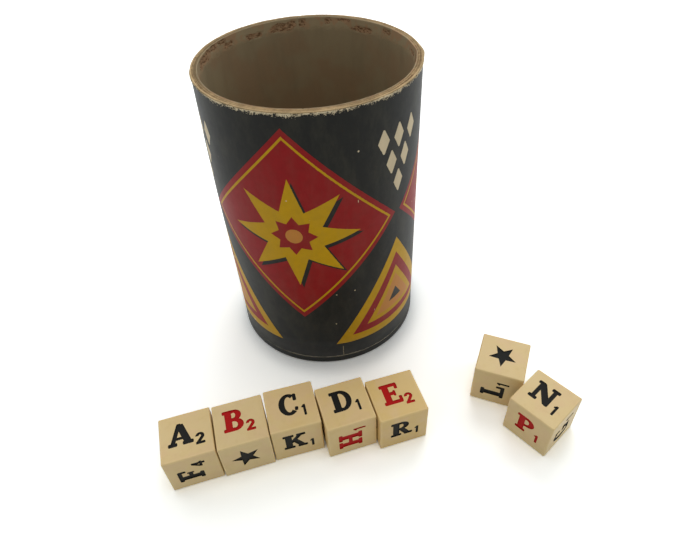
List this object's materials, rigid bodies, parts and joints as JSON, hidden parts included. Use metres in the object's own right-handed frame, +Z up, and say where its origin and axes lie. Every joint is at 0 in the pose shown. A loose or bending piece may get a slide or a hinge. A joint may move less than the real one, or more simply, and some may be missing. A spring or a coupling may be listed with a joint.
{
  "type": "dice shaker cup with letter dice",
  "caption": "Open paperboard shaker cup with a printed wrap, and loose plastic letter dice standing in front of it.",
  "frame": {"origin": "on the cup's axis, at the table that the cup and the dice stand on", "axes": "+Z up out of the cup's mouth, +X along the row of dice from its first die to its last, -Y from the cup towards the dice"},
  "size_m": [0.1288, 0.1238, 0.1016],
  "materials": {
    "lining_paper": "grey-olive lining paper, dull, stained brown and torn under the rim",
    "chipboard": "raw tan chipboard with its plies showing at the rim",
    "printed_label": null,
    "black_binding": "black paper folded round the bottom edge, rubbed",
    "ivory_plastic": "ivory moulded plastic, satin, with engraved and paint-filled letters"
  },
  "bodies": {
    "cup": {"inner_liner": "lining_paper", "inner_board_ply": "chipboard", "outer_board_ply": "chipboard", "label_wrap": "printed_label", "base_disc": "chipboard", "base_binding": "black_binding"},
    "die_1": {"letter_die_1": "ivory_plastic"},
    "die_2": {"letter_die_2": "ivory_plastic"},
    "die_3": {"letter_die_3": "ivory_plastic"},
    "die_4": {"letter_die_4": "ivory_plastic"},
    "die_5": {"letter_die_5": "ivory_plastic"},
    "die_6": {"letter_die_6": "ivory_plastic"},
    "die_7": {"letter_die_7": "ivory_plastic"}
  },
  "joints": [
    {"name": "die_1_lift", "type": "slide", "parent": "cup", "child": "die_1", "axis": [0, 0, 1], "range_m": [0, 0.11]},
    {"name": "die_2_lift", "type": "slide", "parent": "cup", "child": "die_2", "axis": [0, 0, 1], "range_m": [0, 0.11]},
    {"name": "die_3_lift", "type": "slide", "parent": "cup", "child": "die_3", "axis": [0, 0, 1], "range_m": [0, 0.11]},
    {"name": "die_4_lift", "type": "slide", "parent": "cup", "child": "die_4", "axis": [0, 0, 1], "range_m": [0, 0.11]},
    {"name": "die_5_lift", "type": "slide", "parent": "cup", "child": "die_5", "axis": [0, 0, 1], "range_m": [0, 0.11]},
    {"name": "die_6_lift", "type": "slide", "parent": "cup", "child": "die_6", "axis": [0, 0, 1], "range_m": [0, 0.11]},
    {"name": "die_7_lift", "type": "slide", "parent": "cup", "child": "die_7", "axis": [0, 0, 1], "range_m": [0, 0.11]}
  ]
}
